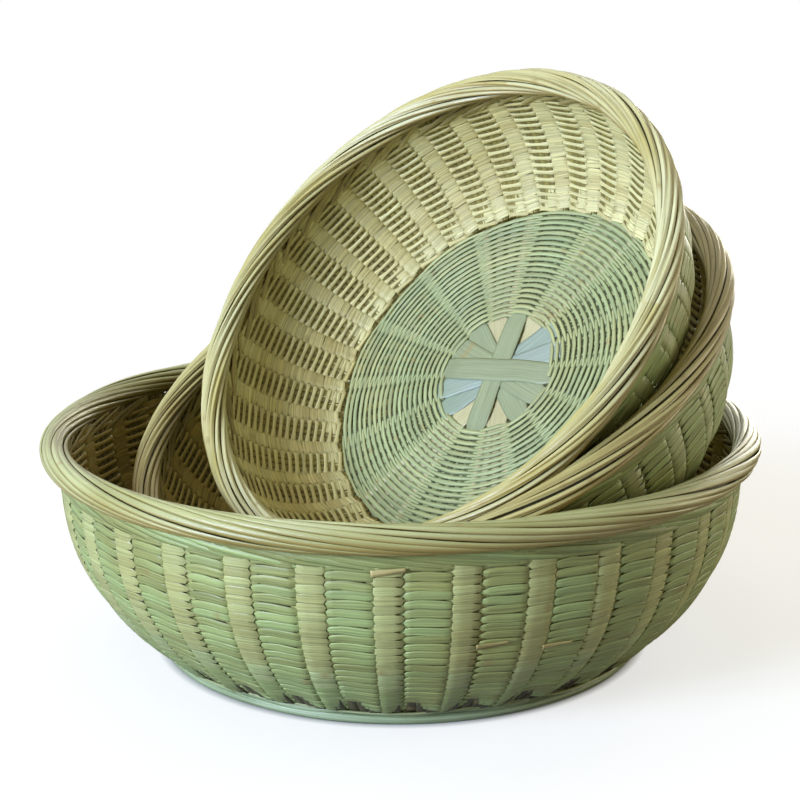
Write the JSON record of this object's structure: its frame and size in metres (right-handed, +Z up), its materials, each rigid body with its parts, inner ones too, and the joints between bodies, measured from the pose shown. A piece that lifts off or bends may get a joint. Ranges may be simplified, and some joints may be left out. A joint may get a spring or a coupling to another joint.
{
  "type": "nesting bamboo basket set",
  "caption": "Nesting round bowl baskets of woven bamboo with rolled, twisted rims, crossed base splints and ring feet, leaning in one another.",
  "frame": {"origin": "middle of the large basket's foot, on the surface that it stands on, which is also the middle of the underside of the whole set's box", "axes": "+Z up along the large basket's axis, +Y away from a viewer in front, +X to that viewer's right"},
  "size_m": [0.3584, 0.3588, 0.284],
  "materials": {
    "green_weave": "bare green bamboo skin, satin",
    "pale_weave": "bare pale green bamboo, satin",
    "green_splint": "bare bamboo splint, satin",
    "cream_splint": "bare cream bamboo splint, satin",
    "rim_splint": "bare bamboo splint, satin",
    "rim_filling": "bare bamboo, matte",
    "foot_splint": "bare bamboo splint, satin"
  },
  "bodies": {
    "large_basket": {"large_foot_hoop": "foot_splint", "large_foot_lash": "foot_splint", "large_base_splint_1": "green_splint", "large_base_splint_2": "green_splint", "large_base_splint_3": "green_splint", "large_base_splint_4": "cream_splint", "large_base_splint_5": "green_splint", "large_base_splint_6": "cream_splint", "large_base_splint_7": "green_splint", "large_base_splint_8": "green_splint", "large_base_weave": "pale_weave", "large_wall_weave": "green_weave", "large_rim_core": "rim_filling", "large_rim_strand_1": "rim_splint", "large_rim_strand_2": "rim_splint", "large_rim_strand_3": "rim_splint", "large_rim_strand_4": "rim_splint", "large_rim_strand_5": "rim_splint", "large_rim_strand_6": "rim_splint"},
    "medium_basket": {"medium_foot_hoop": "foot_splint", "medium_foot_lash": "foot_splint", "medium_base_splint_1": "green_splint", "medium_base_splint_2": "green_splint", "medium_base_splint_3": "green_splint", "medium_base_splint_4": "cream_splint", "medium_base_splint_5": "green_splint", "medium_base_splint_6": "cream_splint", "medium_base_splint_7": "green_splint", "medium_base_splint_8": "green_splint", "medium_base_weave": "pale_weave", "medium_wall_weave": "green_weave", "medium_rim_core": "rim_filling", "medium_rim_strand_1": "rim_splint", "medium_rim_strand_2": "rim_splint", "medium_rim_strand_3": "rim_splint", "medium_rim_strand_4": "rim_splint", "medium_rim_strand_5": "rim_splint", "medium_rim_strand_6": "rim_splint"},
    "small_basket": {"small_foot_hoop": "foot_splint", "small_foot_lash": "foot_splint", "small_base_splint_1": "green_splint", "small_base_splint_2": "green_splint", "small_base_splint_3": "green_splint", "small_base_splint_4": "cream_splint", "small_base_splint_5": "green_splint", "small_base_splint_6": "cream_splint", "small_base_splint_7": "green_splint", "small_base_splint_8": "green_splint", "small_base_weave": "pale_weave", "small_wall_weave": "green_weave", "small_rim_core": "rim_filling", "small_rim_strand_1": "rim_splint", "small_rim_strand_2": "rim_splint", "small_rim_strand_3": "rim_splint", "small_rim_strand_4": "rim_splint", "small_rim_strand_5": "rim_splint", "small_rim_strand_6": "rim_splint"}
  },
  "joints": [
    {"name": "medium_lift", "type": "slide", "parent": "large_basket", "child": "medium_basket", "axis": [-0.3801, -0.2885, 0.8788], "range_m": [0, 0.135]},
    {"name": "small_lift", "type": "slide", "parent": "medium_basket", "child": "small_basket", "axis": [-0.558, -0.5336, 0.6356], "range_m": [0, 0.1]}
  ]
}
